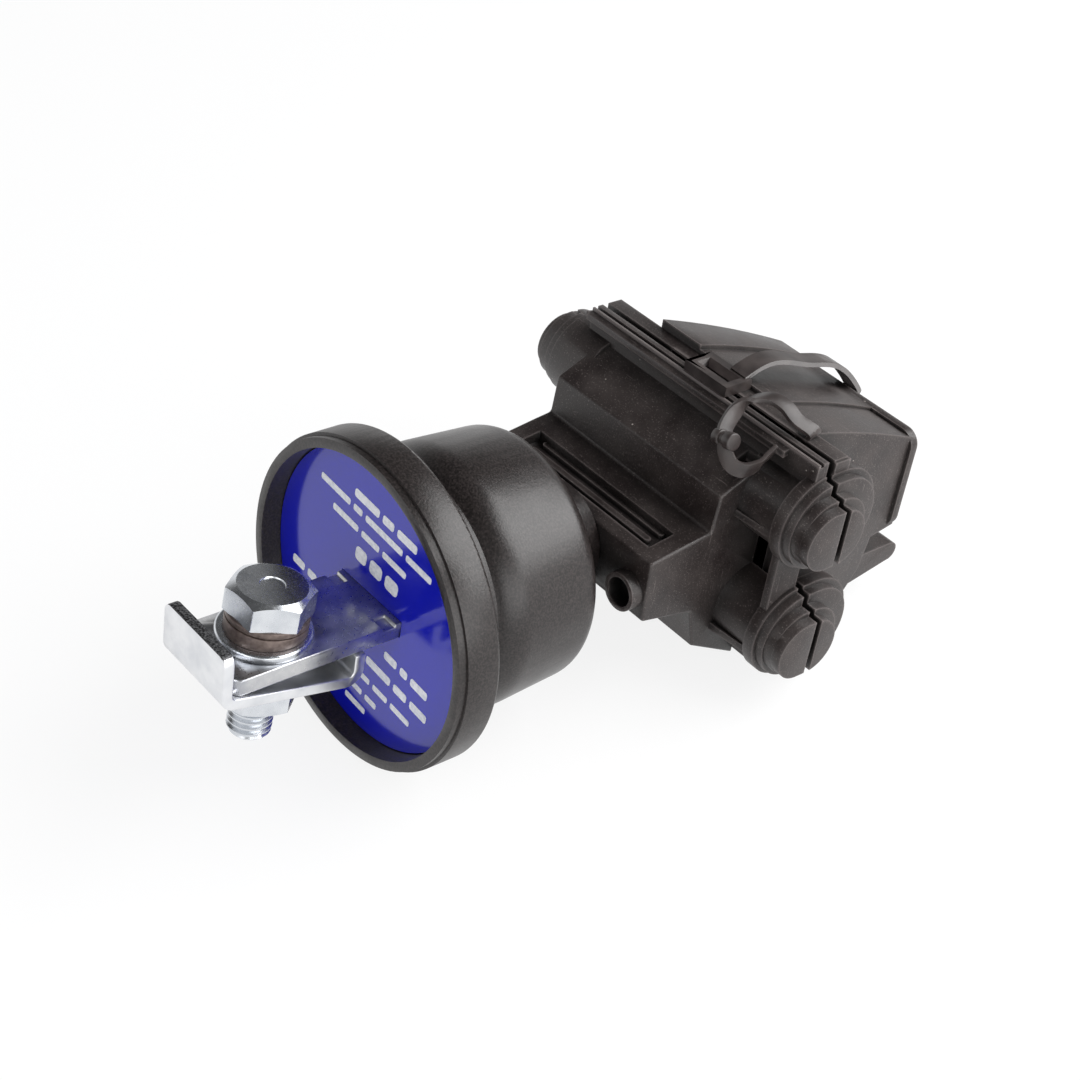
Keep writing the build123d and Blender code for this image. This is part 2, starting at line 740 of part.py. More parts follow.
def blade_profile():
    """Contact blade: a plate notched for both channels, with three teeth in each notch."""
    with BuildSketch(Plane.YZ) as blade:
        with Locations(((jaw_front_face + 3.5 + front_jaw_rear) / 2, cover_mid)):
            Rectangle(front_jaw_rear - jaw_front_face - 3.5, channel_pitch)
        with Locations(*[(seam, height) for height in channel_heights]):
            Circle(channel_radius, mode=Mode.SUBTRACT)
        for height in channel_heights:
            inward = 1 if height < cover_mid else -1
            for turn in (10, 34, 58):
                angle = math.radians(180 - inward * turn)
                root = channel_radius + 0.4
                tip = channel_radius - tooth_height
                spread = math.radians(7)
                with BuildLine():
                    Polyline(
                        (seam + root * math.cos(angle - spread),
                         height + root * math.sin(angle - spread)),
                        (seam + tip * math.cos(angle), height + tip * math.sin(angle)),
                        (seam + root * math.cos(angle + spread),
                         height + root * math.sin(angle + spread)),
                        close=True,
                    )
                make_face()
    return blade.sketch


contact_blades = []
for side in (-blade_side, blade_side):
    with BuildPart() as contact_blade:
        blade_face = blade_profile().moved(Location((side - blade_thick / 2, 0, 0)))
        extrude(blade_face, amount=blade_thick)
    contact_blades.append(contact_blade.part)

with BuildPart() as rear_jaw:
    with BuildSketch(Plane.YZ):
        with BuildLine():
            Polyline(
                (rear_jaw_front, jaw_rim), (rear_jaw_rear, block_top - 4),
                (rear_jaw_rear, block_bottom + 4), (rear_jaw_front, -jaw_rim),
                close=True,
            )
        make_face()
        with Locations(*[(seam, height) for height in channel_heights]):
            Circle(channel_radius, mode=Mode.SUBTRACT)
    extrude(amount=jaw_half, both=True)
    with BuildSketch(front_plane(rear_jaw_rear)):
        with Locations((0, cover_mid)):
            Circle(shear_size / 2 + fit_gap)
    extrude(amount=jaw_depth, mode=Mode.SUBTRACT)

with BuildPart() as shear_bolt_washer:
    with BuildSketch(front_plane(rear_jaw_rear + seat_gap)):
        with Locations((0, cover_mid)):
            Circle(shear_washer_radius)
            Circle(shear_size / 2 + fit_gap, mode=Mode.SUBTRACT)
    extrude(amount=-shear_washer_thick)

with BuildPart() as shear_bolt:
    shear_seat = rear_jaw_rear + shear_washer_thick + 2 * seat_gap
    with BuildSketch(front_plane(shear_seat)):
        with Locations((0, cover_mid)):
            Circle(shear_size / 2)
    extrude(amount=shear_seat - front_jaw_rear + 7)
    with BuildSketch(front_plane(shear_seat)):
        with Locations((0, cover_mid)):
            RegularPolygon(radius=shear_head_af / 2, side_count=6, major_radius=False)
    extrude(amount=-shear_head_height)
    # Necked shank and the upper head that is left after it
    with BuildSketch(front_plane(shear_seat + shear_head_height)):
        with Locations((0, cover_mid)):
            Circle(shear_size / 2 - 1.5)
    extrude(amount=-1.5)
    with BuildSketch(front_plane(shear_seat + shear_head_height + 1.5)):
        with Locations((0, cover_mid)):
            RegularPolygon(radius=shear_head_af / 2, side_count=6, major_radius=False)
    extrude(amount=-shear_head_height)

# ---------------------------------------------------------------- closing straps
with BuildPart() as closing_strap_left:
    # Latch frame across the seam
    with BuildSketch(Plane.XY.offset(rim_top + seat_gap)):
        with Locations((strap_side - 3.5, seam + 0.6)):
            Rectangle(14, 8.4)
            Rectangle(10.4, 4.2, mode=Mode.SUBTRACT)
    extrude(amount=2.6)
    # Flat strap that loops over the hood and turns down behind the rear plate
    with BuildLine():
        strap_path = Spline(
            (strap_side, seam + 3.6, rim_top + 2.4),
            (strap_side, seam + 11, hood_crown + 2.4),
            (strap_side, seam + 25.4, hood_mid_top + 4.4),
            (strap_side, hood_rear - 4.4, hood_rear_top + 7.2),
            (strap_side, hood_rear + plate_thick + 1.6, hood_rear_top - 1),
            (strap_side, hood_rear + plate_thick + strap_thick / 2 + seat_gap, hood_rear_top - 10),
            tangents=[(0, 1, 0.4), (0, 0, -1)],
        )
    with BuildSketch(Plane(origin=strap_path @ 0, x_dir=(1, 0, 0), z_dir=strap_path % 0)):
        Rectangle(strap_width, strap_thick)
    sweep()

with BuildPart() as closing_strap_right:
    # Tie that leaves the rear strip, arches over the seam and ends in a T-shaped knob
    start = Vector(tie_side, seam, rim_top)
    foot_station = seam_rear + foot_length / 2 + seat_gap
    with BuildSketch(Plane.XY.offset(rim_top + seat_gap)):
        with Locations((tie_side, foot_station)):
            RectangleRounded(foot_width, foot_length, foot_length / 4)
    extrude(amount=foot_height)
    with BuildLine():
        tie_path = Spline(
            (tie_side, foot_station, rim_top + foot_height + seat_gap),
            *[start + Vector(*step) for step in tie_route],
        )
    with BuildSketch(Plane(origin=tie_path @ 0, x_dir=(0, 1, 0), z_dir=tie_path % 0)):
        RectangleRounded(tie_width, tie_thick, tie_thick / 3)
    sweep()
    with BuildLine():
        curl_path = Spline(
            *[start + Vector(*step) for step in curl_route],
            (tie_side - 2.4, seam_front - lip_depth - seat_gap, rim_top - lip_height),
            tangents=[(1.6, -0.6, -1.7), (0, 1, 0)],
        )
    with BuildSketch(Plane(origin=curl_path @ 0, x_dir=(0, 1, 0), z_dir=curl_path % 0)):
        RectangleRounded(tie_width - 0.6, tie_thick - 0.2, tie_thick / 3)
    sweep()
    knob_plane = Plane(origin=start + Vector(*knob_place), z_dir=(5.7, -0.5, 1.6))
    with BuildSketch(knob_plane):
        Circle(knob_radius * 0.8)
    extrude(amount=knob_reach, both=True)
    with Locations(knob_plane.offset(-knob_reach), knob_plane.offset(knob_reach)):
        Sphere(knob_radius)

# ---------------------------------------------------------------- write the pieces
pieces = {
    "housing": housing.part,
    "base_disc": base_disc.part,
    "label_disc": label_disc.part,
    "earth_tongue": earth_tongue.part,
    "flat_washer": flat_washer.part,
    "spring_washer": spring_washer.part,
    "earth_bolt": earth_bolt.part,
    "clamp_plate": clamp_plate.part,
    "clamp_nut": clamp_nut.part,
    "varistor_disc": varistor_disc.part,
    "varistor_sleeve": varistor_sleeve.part,
    "line_electrode": line_electrode.part,
    "earth_electrode": earth_electrode.part,
    "contact_spring": contact_spring.part,
    "braid_lead": braid_lead.part,
    "line_stud": line_stud.part,
    "stud_nut": stud_nut.part,
    "front_shell": front_shell.part,
    "rear_shell": rear_shell.part,
    "front_jaw": front_jaw.part,
    "rear_jaw": rear_jaw.part,
    "contact_bar": contact_bar.part,
    "contact_blade_left": contact_blades[0],
    "contact_blade_right": contact_blades[1],
    "shear_bolt": shear_bolt.part,
    "shear_bolt_washer": shear_bolt_washer.part,
    "closing_strap_left": closing_strap_left.part,
    "closing_strap_right": closing_strap_right.part,
}

os.makedirs("parts", exist_ok=True)
for name, piece in pieces.items():
    piece.label = name
    export_step(piece, f"parts/{name}.step")
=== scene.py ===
import json
import math

import bpy
from mathutils import Matrix, Vector

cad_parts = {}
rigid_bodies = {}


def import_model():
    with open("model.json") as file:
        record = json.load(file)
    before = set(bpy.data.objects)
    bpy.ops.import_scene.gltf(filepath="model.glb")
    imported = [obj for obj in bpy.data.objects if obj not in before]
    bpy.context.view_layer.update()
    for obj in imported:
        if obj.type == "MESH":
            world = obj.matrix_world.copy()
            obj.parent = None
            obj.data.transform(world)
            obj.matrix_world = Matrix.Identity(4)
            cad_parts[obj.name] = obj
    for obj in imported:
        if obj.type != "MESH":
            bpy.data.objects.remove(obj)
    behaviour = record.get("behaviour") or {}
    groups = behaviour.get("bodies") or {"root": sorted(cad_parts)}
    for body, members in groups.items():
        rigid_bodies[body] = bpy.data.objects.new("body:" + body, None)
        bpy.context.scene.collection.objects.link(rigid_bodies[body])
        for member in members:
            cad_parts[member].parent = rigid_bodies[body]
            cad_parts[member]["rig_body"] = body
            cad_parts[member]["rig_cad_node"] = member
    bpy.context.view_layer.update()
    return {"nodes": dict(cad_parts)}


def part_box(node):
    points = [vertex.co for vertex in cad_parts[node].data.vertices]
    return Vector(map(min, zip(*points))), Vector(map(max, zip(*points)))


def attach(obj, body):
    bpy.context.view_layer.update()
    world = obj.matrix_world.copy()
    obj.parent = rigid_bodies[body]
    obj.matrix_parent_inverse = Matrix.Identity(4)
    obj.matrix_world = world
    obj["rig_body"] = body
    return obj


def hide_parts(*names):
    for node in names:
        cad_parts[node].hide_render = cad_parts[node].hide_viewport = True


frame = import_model()

MM = 0.001
ROOT = "root"
WHITE = (1.0, 1.0, 1.0, 1.0)

# ---------------------------------------------------------------- sizes from the frame
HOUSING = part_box("housing")
FRONT_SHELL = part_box("front_shell")
FLANGE_FACE = HOUSING[0][1]
FLANGE_RADIUS = HOUSING[1][0]
LABEL_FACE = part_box("label_disc")[0][1]
SHELL_FOOT = FRONT_SHELL[0][2]
RIM_TOP = FRONT_SHELL[1][2]
REAR_SHELL_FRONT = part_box("rear_shell")[0][1]

# ---------------------------------------------------------------- earth bolt, M10 coarse
BOLT_LEAN = Matrix.Rotation(math.radians(-5.0), 4, "X")
BOLT_LENGTH = 31.6 * MM
# How far the rod reaches up into the head
ROD_IN_HEAD = 0.2 * MM
THREAD_MAJOR = 4.98 * MM
THREAD_MINOR = 4.22 * MM
# The core is this much wider than the thread's roots, so that the two meet
CORE_OVERLAP = 0.05 * MM
THREAD_STEPS = 40
PITCH = 1.5 * MM
# One section of the ridge: each corner's radius, and its height in pitches
RIDGE = (
    (THREAD_MINOR, 0.06), (THREAD_MAJOR, 0.42), (THREAD_MINOR, 0.94), (THREAD_MAJOR, 0.58)
)
ROD_CHAMFER = 0.9 * MM
# The rod's foot is this much narrower than the thread's roots
ROD_DRAW_IN = 0.4 * MM
HEAD_SEAT = 7.4 * MM
HEAD_HEIGHT = 6.4 * MM
HEAD_FACE = 7.6 * MM
HEAD_SLOPE = math.radians(30)
ACROSS_FLATS = 17.0 * MM
# The turned blank reaches just past the hexagon's corners
BLANK_RADIUS = ACROSS_FLATS / math.sqrt(3) * 1.02
HEAD_CORNER = 0.25 * MM
HEX_TURN = math.radians(3.5)
DIMPLE = 2.7 * MM
DIMPLE_DEPTH = 0.28 * MM
DIMPLE_WALL = 0.12 * MM
DIMPLE_FLOOR_INSET = 0.8 * MM

# How deep below its top the clamp's tab counts as sheared
SHEARED_DEPTH = 0.6 * MM

# ---------------------------------------------------------------- closing tie, in millimetres
TIE_START = (34.0, 118.2, RIM_TOP / MM)
# Its two routes and its knob, from that start
ARCH_ROUTE = [
    (0, 3.4, 0.4), (0, 2.5, 1.9), (-3.2, 0.4, 3.6), (-6.5, -0.4, 5.5), (-10.0, -1.9, 6.2),
    (-12.6, -4.9, 5.2), (-13.0, -8.9, 3.6), (-11.8, -12.9, 1.2), (-10.4, -14.7, -0.8),
]
CURL_ROUTE = [
    (-9.0, -15.5, -1.0), (-7.6, -16.0, -3.0), (-5.4, -15.8, -4.9), (-3.4, -14.0, -5.6),
    (-2.5, -11.0, -5.0), (-2.4, -8.2, -3.2), (-2.4, -5.6, -1.6),
]
# Width and thickness of the two ribbons, and the share of the thickness that is eased away
ARCH_SIZE = (3.7, 1.1)
CURL_SIZE = (3.6, 1.0)
RIBBON_EASE = 0.28
KNOB = (-9.4, -15.1, -0.5)
KNOB_AXIS = Vector((5.7, -0.5, 1.6)).normalized()
# Bars of the knob: place along its axis, radius, length
KNOB_BARS = [(-1.9, 2.0, 2.2), (1.9, 2.1, 2.4), (0.0, 1.5, 3.4)]
BAR_EASE = 0.4

# ---------------------------------------------------------------- label print
PRINT_THICKNESS = 0.06 * MM
PRINT_TURN = Matrix.Rotation(math.radians(4.0), 4, "Y")
# A dash's corner radius, as a share of its height
DASH_ROUNDING = 0.3
# Rows of dashes in millimetres: left end, middle height, dash height, dash lengths
DASH_GAP = 1.3
LABEL_ROWS = [
    (-11.0, 22.2, 2.2, (9.0, 4.0, 7.0)),
    (-23.0, 18.4, 1.7, (11.0, 3.2, 13.5, 9.0)),
    (-17.5, 13.8, 1.7, (9.5, 6.5, 8.5)),
    (-7.6, 8.2, 3.6, (4.0, 4.4, 4.6)),
    (-28.6, -9.0, 2.2, (4.6, 3.4)),
    (7.5, -9.8, 2.2, (4.6, 2.6, 6.0)),
    (2.0, -15.6, 2.2, (9.0, 4.8, 6.0)),
    (-4.0, -21.0, 1.6, (8.4, 5.4, 7.0)),
    (-5.0, -25.6, 1.6, (7.4, 4.2)),
    (-3.0, -29.8, 1.6, (7.6,)),
]

# ---------------------------------------------------------------- camera and studio
SENSOR = 36.0
LENS = 70.2
LENS_SHIFT = (0.0058, -0.0291)
CAMERA_PLACE = (0.2833, -0.2066, 0.2755)
CAMERA_AHEAD = Vector((-0.5927, 0.5829, -0.5558))
CAMERA_RIGHT = Vector((0.6253, 0.7679, 0.1386))

OBJECT_MIDDLE = Vector((0.0, 0.07, 0.0))
# Softboxes: name, direction from the object's middle, distance, width, height, radiance
SOFTBOXES = [
    ("back_right_softbox", (0.42, 0.57, 0.7), 0.85, 0.8, 0.76, 5.4),
    ("right_softbox", (0.97, -0.05, 0.22), 0.8, 0.8, 0.6, 2.0),
    ("front_softbox", (0.25, -0.85, 0.46), 0.9, 0.6, 0.5, 1.2),
]
# The tent's wall is white up to the first height of a ray's direction, and the ceiling starts at
# the second
WALL_TOP = 0.22
CEILING = 0.54
CEILING_LIGHT = 0.08
TENT_COLOUR = (0.95, 0.97, 1.0, 1.0)
TENT_LIGHT = 0.45
FLOOR_SIZE = 6.0
FLOOR_OWN_WHITE = 0.85
FLANGE_REST = 5 * MM


# ---------------------------------------------------------------- small tools
def linear(hex_code):
    """sRGB hex to a linear colour with full alpha."""
    channels = [int(hex_code[i:i + 2], 16) / 255 for i in (1, 3, 5)]
    return [c / 12.92 if c <= 0.04045 else ((c + 0.055) / 1.055) ** 2.4 for c in channels] + [1.0]


def per_metre(size_mm):
    """Texture scale at which one feature is about this many millimetres across."""
    return 1000.0 / size_mm


def plug(tree, node, inputs):
    """Gives a node's inputs their values, or links them from other nodes' outputs."""
    for name, value in inputs.items():
        if isinstance(value, bpy.types.NodeSocket):
            tree.links.new(value, node.inputs[name])
        else:
            node.inputs[name].default_value = value


def add_node(tree, kind, inputs=None, **settings):
    """Adds a node with its settings, values and links, and gives its outputs."""
    made = tree.nodes.new(kind)
    for name, value in settings.items():
        setattr(made, name, value)
    plug(tree, made, inputs or {})
    return made.outputs


def start_material(name, colour, roughness, metallic=0.0):
    """A new material, with its tree and its shader."""
    material = bpy.data.materials.new(name)
    material.use_nodes = True
    tree = material.node_tree
    shader = tree.nodes["Principled BSDF"]
    plug(tree, shader, {
        "Base Color": linear(colour), "Roughness": roughness, "Metallic": metallic,
    })
    return material, tree, shader


# ---------------------------------------------------------------- materials
# A colour Mix node's sockets
FACTOR, FIRST, SECOND, MIXED = 0, 6, 7, 2


def housing_polymer():
    """Polyamide from a fine spark-eroded mould: satin black, with a sparkle of grain."""
    material, tree, shader = start_material("polyamide_satin_black", "#201B1B", 0.32)
    place = add_node(tree, "ShaderNodeTexCoord")["Object"]
    # The real grain is about 0.1 mm, drawn coarser so that it shows
    grain = add_node(tree, "ShaderNodeTexNoise", {
        "Vector": place, "Scale": per_metre(0.5), "Detail": 3.0,
    })["Fac"]
    swell = add_node(tree, "ShaderNodeTexNoise", {
        "Vector": place, "Scale": per_metre(14.0), "Detail": 2.0,
    })["Fac"]
    lighter = add_node(tree, "ShaderNodeMapRange", {
        "Value": grain, "From Min": 0.4, "From Max": 0.68,
    })["Result"]
    colour = add_node(tree, "ShaderNodeMix", {
        FACTOR: lighter, FIRST: linear("#191514"), SECOND: linear("#332D2C"),
    }, data_type="RGBA")[MIXED]
    rough = add_node(tree, "ShaderNodeMapRange", {
        "Value": swell, "From Min": 0.3, "From Max": 0.7, "To Min": 0.28, "To Max": 0.37,
    })["Result"]
    relief = add_node(tree, "ShaderNodeBump", {
        "Height": grain, "Distance": 0.06 * MM, "Strength": 0.6,
    })["Normal"]
    plug(tree, shader, {"Base Color": colour, "Roughness": rough, "Normal": relief})
    return material


def cover_polymer():
    """Weatherproof polypropylene, moulded: warm black, softly matt, dusty, rubbed and scratched,
    with painted shade in its hollows and a painted highlight on its outer edges.
    """
    material, tree, shader = start_material("polypropylene_weatherproof", "#2B2625", 0.46)
    place = add_node(tree, "ShaderNodeTexCoord")["Object"]
    # The real grain and powder are finer, drawn coarser so that they show
    grain = add_node(tree, "ShaderNodeTexNoise", {
        "Vector": place, "Scale": per_metre(0.6), "Detail": 4.0,
    })["Fac"]
    patches = add_node(tree, "ShaderNodeTexNoise", {
        "Vector": place, "Scale": per_metre(9.0), "Detail": 3.0,
    })["Fac"]
    lighter = add_node(tree, "ShaderNodeMapRange", {
        "Value": patches, "From Min": 0.35, "From Max": 0.7,
    })["Result"]
    colour = add_node(tree, "ShaderNodeMix", {
        FACTOR: lighter, FIRST: linear("#221B1A"), SECOND: linear("#37302E"),
    }, data_type="RGBA")[MIXED]

    # Powder: a fine grey bloom in the grain
    powder = add_node(tree, "ShaderNodeTexNoise", {
        "Vector": place, "Scale": per_metre(0.35), "Detail": 1.0,
    })["Fac"]
    bloom = add_node(tree, "ShaderNodeMapRange", {
        "Value": powder, "From Min": 0.62, "From Max": 0.74, "To Min": 0.0, "To Max": 0.7,
    })["Result"]
    colour = add_node(tree, "ShaderNodeMix", {
        FACTOR: bloom, FIRST: colour, SECOND: linear("#6B6360"),
    }, data_type="RGBA")[MIXED]

    # Hollows are painted dark: painted shade where ambient occlusion finds the surface closed in
    recess_occlusion = add_node(
        tree, "ShaderNodeAmbientOcclusion", {"Distance": 9 * MM}, samples=8
    )["AO"]
    unshaded_share = add_node(tree, "ShaderNodeMapRange", {
        "Value": recess_occlusion, "From Min": 0.35, "From Max": 0.95,
    })["Result"]
    colour = add_node(tree, "ShaderNodeMix", {
        FACTOR: unshaded_share, FIRST: linear("#0A0807"), SECOND: colour,
    }, data_type="RGBA")[MIXED]

    # Outer edges are painted lighter grey: partly rubbed wear, partly a painted highlight
    edges = add_node(
        tree, "ShaderNodeAmbientOcclusion", {"Distance": 0.9 * MM}, samples=8, inside=True
    )["AO"]
    rubbed_and_highlit_share = add_node(tree, "ShaderNodeMapRange", {
        "Value": edges, "From Min": 0.85, "From Max": 0.4, "To Min": 0.0, "To Max": 0.75,
    })["Result"]
    colour = add_node(tree, "ShaderNodeMix", {
        FACTOR: rubbed_and_highlit_share, FIRST: colour, SECOND: linear("#6A6260"),
    }, data_type="RGBA")[MIXED]

    # Scratches: a noise drawn out along one direction
    drawn_out = add_node(tree, "ShaderNodeMapping", {
        "Vector": place, "Rotation": (0.3, 0.2, 0.9), "Scale": (1.0, 22.0, 1.0),
    })["Vector"]
    marks = add_node(tree, "ShaderNodeTexNoise", {
        "Vector": drawn_out, "Scale": per_metre(8.0), "Detail": 7.0,
    })["Fac"]
    scratches = add_node(tree, "ShaderNodeMapRange", {
        "Value": marks, "From Min": 0.68, "From Max": 0.73,
    })["Result"]
    colour = add_node(tree, "ShaderNodeMix", {
        FACTOR: scratches, FIRST: colour, SECOND: linear("#5A5250"),
    }, data_type="RGBA")[MIXED]

    # Dust: small pale specks, in drifts
    spots = add_node(
        tree, "ShaderNodeTexVoronoi", {"Vector": place, "Scale": per_metre(3.2)}
    )["Distance"]
    small = add_node(tree, "ShaderNodeMapRange", {
        "Value": spots, "From Min": 0.08, "From Max": 0.04,
    })["Result"]
    drift = add_node(tree, "ShaderNodeTexNoise", {
        "Vector": place, "Scale": per_metre(7.0), "Detail": 1.0,
    })["Fac"]
    fallen = add_node(tree, "ShaderNodeMapRange", {
        "Value": drift, "From Min": 0.6, "From Max": 0.63,
    })["Result"]
    specks = add_node(tree, "ShaderNodeMath", {0: small, 1: fallen}, operation="MULTIPLY")[0]
    colour = add_node(tree, "ShaderNodeMix", {
        FACTOR: specks, FIRST: colour, SECOND: linear("#A29A94"),
    }, data_type="RGBA")[MIXED]

    rough = add_node(tree, "ShaderNodeMapRange", {
        "Value": patches, "From Min": 0.3, "From Max": 0.75, "To Min": 0.36, "To Max": 0.5,
    })["Result"]
    fine = add_node(tree, "ShaderNodeBump", {
        "Height": grain, "Distance": 0.09 * MM, "Strength": 0.6,
    })["Normal"]
    relief = add_node(tree, "ShaderNodeBump", {
        "Height": patches, "Distance": 0.12 * MM, "Strength": 0.3, "Normal": fine,
    })["Normal"]
    plug(tree, shader, {"Base Color": colour, "Roughness": rough, "Normal": relief})
    return material


def label_film():
    """Printed polyester film: deep blue with a glossy face."""
    material, tree, shader = start_material("polyester_film_blue", "#0A14B0", 0.13)
    place = add_node(tree, "ShaderNodeTexCoord")["Object"]
    shader.inputs["IOR"].default_value = 1.6
    waves = add_node(tree, "ShaderNodeTexNoise", {
        "Vector": place, "Scale": per_metre(18.0), "Detail": 2.0,
    })["Fac"]
    relief = add_node(tree, "ShaderNodeBump", {
        "Height": waves, "Distance": 0.25 * MM, "Strength": 0.15,
    })["Normal"]
    plug(tree, shader, {"Normal": relief})
    return material


def zinc_bright(name, colour, dull, roughness):
    """Bright zinc plate on steel: silvery, with a cloudy drift and fine handling marks."""
    material, tree, shader = start_material(name, colour, roughness, metallic=1.0)
    place = add_node(tree, "ShaderNodeTexCoord")["Object"]
    clouds = add_node(tree, "ShaderNodeTexNoise", {
        "Vector": place, "Scale": per_metre(5.0), "Detail": 4.0,
    })["Fac"]
    crystals = add_node(tree, "ShaderNodeTexNoise", {
        "Vector": place, "Scale": per_metre(0.7), "Detail": 3.0,
    })["Fac"]
    cloudy = add_node(tree, "ShaderNodeMapRange", {
        "Value": clouds, "From Min": 0.35, "From Max": 0.7,
    })["Result"]
    tint = add_node(tree, "ShaderNodeMix", {
        FACTOR: cloudy, FIRST: linear(colour), SECOND: linear(dull),
    }, data_type="RGBA")[MIXED]
    rough = add_node(tree, "ShaderNodeMapRange", {
        "Value": crystals, "From Min": 0.3, "From Max": 0.7,
        "To Min": roughness - 0.04, "To Max": roughness + 0.05,
    })["Result"]
    relief = add_node(tree, "ShaderNodeBump", {
        "Height": crystals, "Distance": 0.02 * MM, "Strength": 0.15,
    })["Normal"]
    plug(tree, shader, {"Base Color": tint, "Roughness": rough, "Normal": relief})
    return material


def mottled(name, dark, light, base, roughness, metallic, tone, relief_depth):
    """A plain finish whose tone drifts between two colours.

    tone gives the drift's size in millimetres, its detail, and the noise at which it is dark and
    light. relief_depth gives the grain's size in millimetres, its detail, depth and strength.
    """
    material, tree, shader = start_material(name, base, roughness, metallic)
    place = add_node(tree, "ShaderNodeTexCoord")["Object"]
    size, detail, low, high = tone
    drift = add_node(tree, "ShaderNodeTexNoise", {
        "Vector": place, "Scale": per_metre(size), "Detail": detail,
    })["Fac"]
    lighter = add_node(tree, "ShaderNodeMapRange", {
        "Value": drift, "From Min": low, "From Max": high,
    })["Result"]
    colour = add_node(tree, "ShaderNodeMix", {
        FACTOR: lighter, FIRST: linear(dark), SECOND: linear(light),
    }, data_type="RGBA")[MIXED]
    plug(tree, shader, {"Base Color": colour})
    if relief_depth:
        size, detail, depth, strength = relief_depth
        grain = add_node(tree, "ShaderNodeTexNoise", {
            "Vector": place, "Scale": per_metre(size), "Detail": detail,
        })["Fac"]
        relief = add_node(tree, "ShaderNodeBump", {
            "Height": grain, "Distance": depth * MM, "Strength": strength,
        })["Normal"]
        plug(tree, shader, {"Normal": relief})
    return material


def plain_inside(name, colour, roughness, metallic, grain_mm):
    """Finish of a piece that the housing or the cover hides: one colour with its own grain."""
    material, tree, shader = start_material(name, colour, roughness, metallic)
    place = add_node(tree, "ShaderNodeTexCoord")["Object"]
    grain = add_node(tree, "ShaderNodeTexNoise", {
        "Vector": place, "Scale": per_metre(grain_mm), "Detail": 2.0,
    })["Fac"]
    relief = add_node(tree, "ShaderNodeBump", {
        "Height": grain, "Distance": 0.03 * MM, "Strength": 0.3,
    })["Normal"]
    plug(tree, shader, {"Normal": relief})
    return material


HOUSING_POLYMER = housing_polymer()
COVER_POLYMER = cover_polymer()
# Thin moulded polyethylene: smoother and a little lighter than the cover, greyed in places
STRAP_POLYMER = mottled(
    "polyethylene_strap", "#2C2625", "#453E3C", "#3A3433", 0.36, 0.0,
    (6.0, 2.0, 0.35, 0.7), (0.7, 3.0, 0.05, 0.35),
)
FILM = label_film()
# Screen ink on the film: flat white, a little uneven
INK = mottled(
    "screen_ink_white", "#D6D9E2", "#F0F1F5", "#E6E8EE", 0.35, 0.0, (0.8, 2.0, 0.3, 0.6), None
)
ZINC_BOLT = zinc_bright("zinc_plate_bolt", "#E0E3E7", "#C8CCD2", 0.24)
ZINC_TONGUE = zinc_bright("zinc_plate_tongue", "#D3D3D3", "#AEB0B6", 0.3)
ZINC_CLAMP = zinc_bright("zinc_plate_clamp", "#ECEDEF", "#DADCE0", 0.32)
# Phosphated spring steel: brown, dull, with lighter rubbed spots
SPRING = mottled(
    "spring_steel_phosphated", "#5C504B", "#7C6E68", "#6A5D58", 0.4, 0.55,
    (1.2, 3.0, 0.35, 0.7), (1.2, 3.0, 0.03, 0.4),
)
# Edge left by the shears, where the plate is torn: dark and rough
SHEARED = mottled(
    "steel_sheared_edge", "#232224", "#7A7A7C", "#3C3B3D", 0.55, 0.8,
    (0.5, 4.0, 0.4, 0.65), (0.5, 4.0, 0.15, 0.8),
)
# Sintered ceramic: dark grey and chalky
CERAMIC = plain_inside("zinc_oxide_ceramic", "#3A3A3D", 0.7, 0.0, 0.5)
# Cast silicone rubber: grey-brown, soft-looking
SILICONE = plain_inside("silicone_cast", "#8A8580", 0.6, 0.0, 2.0)
# Turned aluminium: pale, satin
ALUMINIUM = plain_inside("aluminium_turned", "#C8CACE", 0.35, 1.0, 0.6)
# Tinned copper: pinkish, satin
COPPER = plain_inside("copper_tinned", "#B98A63", 0.4, 1.0, 0.6)
# Sawn brass bar: yellow, satin
BRASS = plain_inside("brass_bar", "#C9A45C", 0.35, 1.0, 0.6)
# Glass-filled polyamide, moulded: near black and matt
JAW_POLYMER = plain_inside("polyamide_glass_filled", "#262525", 0.6, 0.0, 0.8)
# Zinc-plated steel: silvery
STEEL_INSIDE = plain_inside("zinc_plate_inside", "#C4C8CE", 0.3, 1.0, 0.8)

INSIDE_FINISHES = {
    "base_disc": HOUSING_POLYMER,
    "varistor_disc": CERAMIC,
    "varistor_sleeve": SILICONE,
    "line_electrode": ALUMINIUM,
    "earth_electrode": ALUMINIUM,
    "contact_spring": STEEL_INSIDE,
    "braid_lead": COPPER,
    "line_stud": STEEL_INSIDE,
    "stud_nut": STEEL_INSIDE,
    "front_jaw": JAW_POLYMER,
    "rear_jaw": JAW_POLYMER,
    "contact_bar": BRASS,
    "contact_blade_left": COPPER,
    "contact_blade_right": COPPER,
    "shear_bolt": STEEL_INSIDE,
    "shear_bolt_washer": STEEL_INSIDE,
}

# Pieces copied from a node: node, name, finish, easing in millimetres, and the turn in degrees
# from which an edge is eased
EASED_PIECES = [
    ("housing", "arrester_housing", HOUSING_POLYMER, 0.25, 30),
    ("label_disc", "blue_film", FILM, 0.0, 28),
    ("earth_tongue", "flat_tongue", ZINC_TONGUE, 0.35, 40),
    ("flat_washer", "plain_washer", ZINC_BOLT, 0.15, 40),
    ("spring_washer", "lock_washer", SPRING, 0.2, 40),
    ("clamp_plate", "pressed_clamp", ZINC_CLAMP, 0.35, 40),
    ("clamp_nut", "hex_nut", ZINC_BOLT, 0.2, 25),
    ("front_shell", "cover_front", COVER_POLYMER, 0.35, 30),
    ("rear_shell", "cover_rear", COVER_POLYMER, 0.35, 30),
    ("closing_strap_left", "latch_strap", STRAP_POLYMER, 0.25, 50),
]


# ---------------------------------------------------------------- mesh tools
# Points this close are one, and faces that turn by less than this are one flat face
WELD = 0.002 * MM
FLAT = math.radians(0.8)


